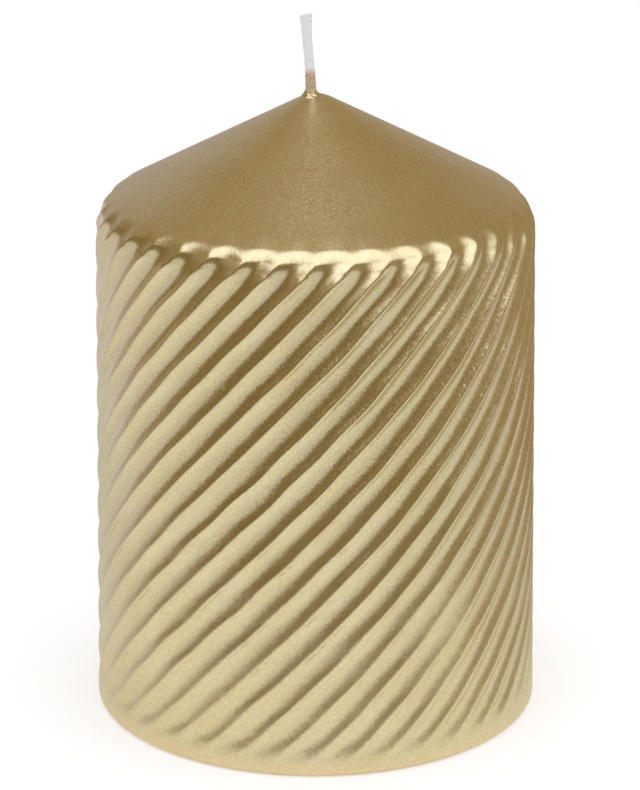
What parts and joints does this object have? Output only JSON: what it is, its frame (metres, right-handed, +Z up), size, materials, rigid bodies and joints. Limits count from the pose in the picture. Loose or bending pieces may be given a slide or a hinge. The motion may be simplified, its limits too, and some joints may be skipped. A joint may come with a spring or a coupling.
{
  "type": "pillar candle",
  "caption": "Gold metallic pillar candle with twisted flutes, a cone top and a braided wick.",
  "frame": {"origin": "centre of the base, on the surface that the candle stands on", "axes": "+Z up along the body, the pictured front faces -Y"},
  "size_m": [0.07, 0.07, 0.1107],
  "materials": {
    "paraffin": "cream white paraffin wax, satin, slightly translucent",
    "gold_lacquer": "pale gold metallic lacquer on dipped wax, satin, with fine flake",
    "cotton": "braided cotton primed with white wax, its foot tinted gold",
    "tinplate": "pressed tin plated sheet"
  },
  "bodies": {
    "root": {"wax_core": "paraffin", "gold_skin": "gold_lacquer", "wick": "cotton", "wick_clip": "tinplate"}
  },
  "joints": []
}
